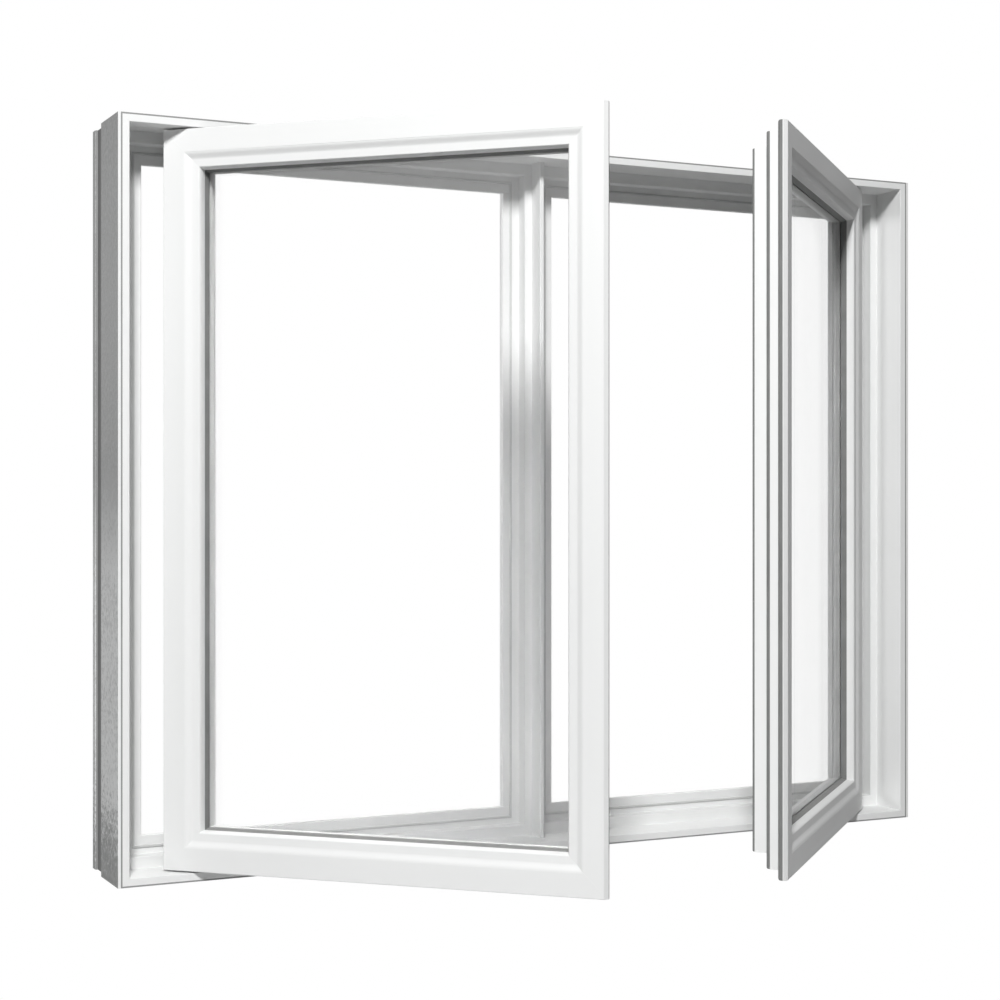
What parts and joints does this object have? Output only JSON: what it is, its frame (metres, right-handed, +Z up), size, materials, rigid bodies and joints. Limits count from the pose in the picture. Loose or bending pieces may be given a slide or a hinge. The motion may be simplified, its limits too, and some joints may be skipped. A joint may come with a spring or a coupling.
{
  "type": "tilt and turn window",
  "caption": "White twin-sash tilt and turn window: deep lined frame with a mullion, and two glazed sashes standing open into the room on concealed corner hinges.",
  "frame": {"origin": "under the sill lining at mid width, in the plane of the main frame's room face", "axes": "+X across the window to the right as seen from the room, +Y from the room to the outside, +Z up"},
  "size_m": [1.514, 0.6345, 1.2],
  "materials": {
    "frame_vinyl": "white extruded vinyl, low gloss",
    "lining_vinyl": "white extruded vinyl, low gloss",
    "sash_vinyl": "white extruded vinyl, low gloss",
    "bead_vinyl": "white extruded vinyl, low gloss",
    "side_strip": "white front edge, mottled grey outer face",
    "seal_rubber": "matt grey",
    "glazing_rubber": "matt dark grey",
    "spacer": "satin",
    "glass": "clear float glass",
    "hinge_steel": "zinc plated"
  },
  "bodies": {
    "root": {"frame_head": "frame_vinyl", "frame_left_jamb": "frame_vinyl", "frame_right_jamb": "frame_vinyl", "frame_sill": "frame_vinyl", "left_bead_bottom": "bead_vinyl", "left_bead_hinge": "bead_vinyl", "left_bead_lock": "bead_vinyl", "left_bead_top": "bead_vinyl", "left_glazing_gasket": "glazing_rubber", "left_hinge_arms": "hinge_steel", "left_hinge_frame_plates": "hinge_steel", "left_hinge_sash_plates": "hinge_steel", "left_inner_pane": "glass", "left_opening_seal": "seal_rubber", "left_outer_pane": "glass", "left_sash_bottom_rail": "sash_vinyl", "left_sash_hinge_stile": "sash_vinyl", "left_sash_lock_stile": "sash_vinyl", "left_sash_seals": "seal_rubber", "left_sash_top_rail": "sash_vinyl", "left_side_strip": "side_strip", "left_spacer": "spacer", "lining_head": "lining_vinyl", "lining_left": "lining_vinyl", "lining_right": "lining_vinyl", "lining_sill": "lining_vinyl", "mullion": "frame_vinyl", "perimeter_gasket": "seal_rubber", "right_bead_bottom": "bead_vinyl", "right_bead_hinge": "bead_vinyl", "right_bead_lock": "bead_vinyl", "right_bead_top": "bead_vinyl", "right_glazing_gasket": "glazing_rubber", "right_hinge_arms": "hinge_steel", "right_hinge_frame_plates": "hinge_steel", "right_hinge_sash_plates": "hinge_steel", "right_inner_pane": "glass", "right_opening_seal": "seal_rubber", "right_outer_pane": "glass", "right_sash_bottom_rail": "sash_vinyl", "right_sash_hinge_stile": "sash_vinyl", "right_sash_lock_stile": "sash_vinyl", "right_sash_seals": "seal_rubber", "right_sash_top_rail": "sash_vinyl", "right_side_strip": "side_strip", "right_spacer": "spacer"}
  },
  "joints": []
}
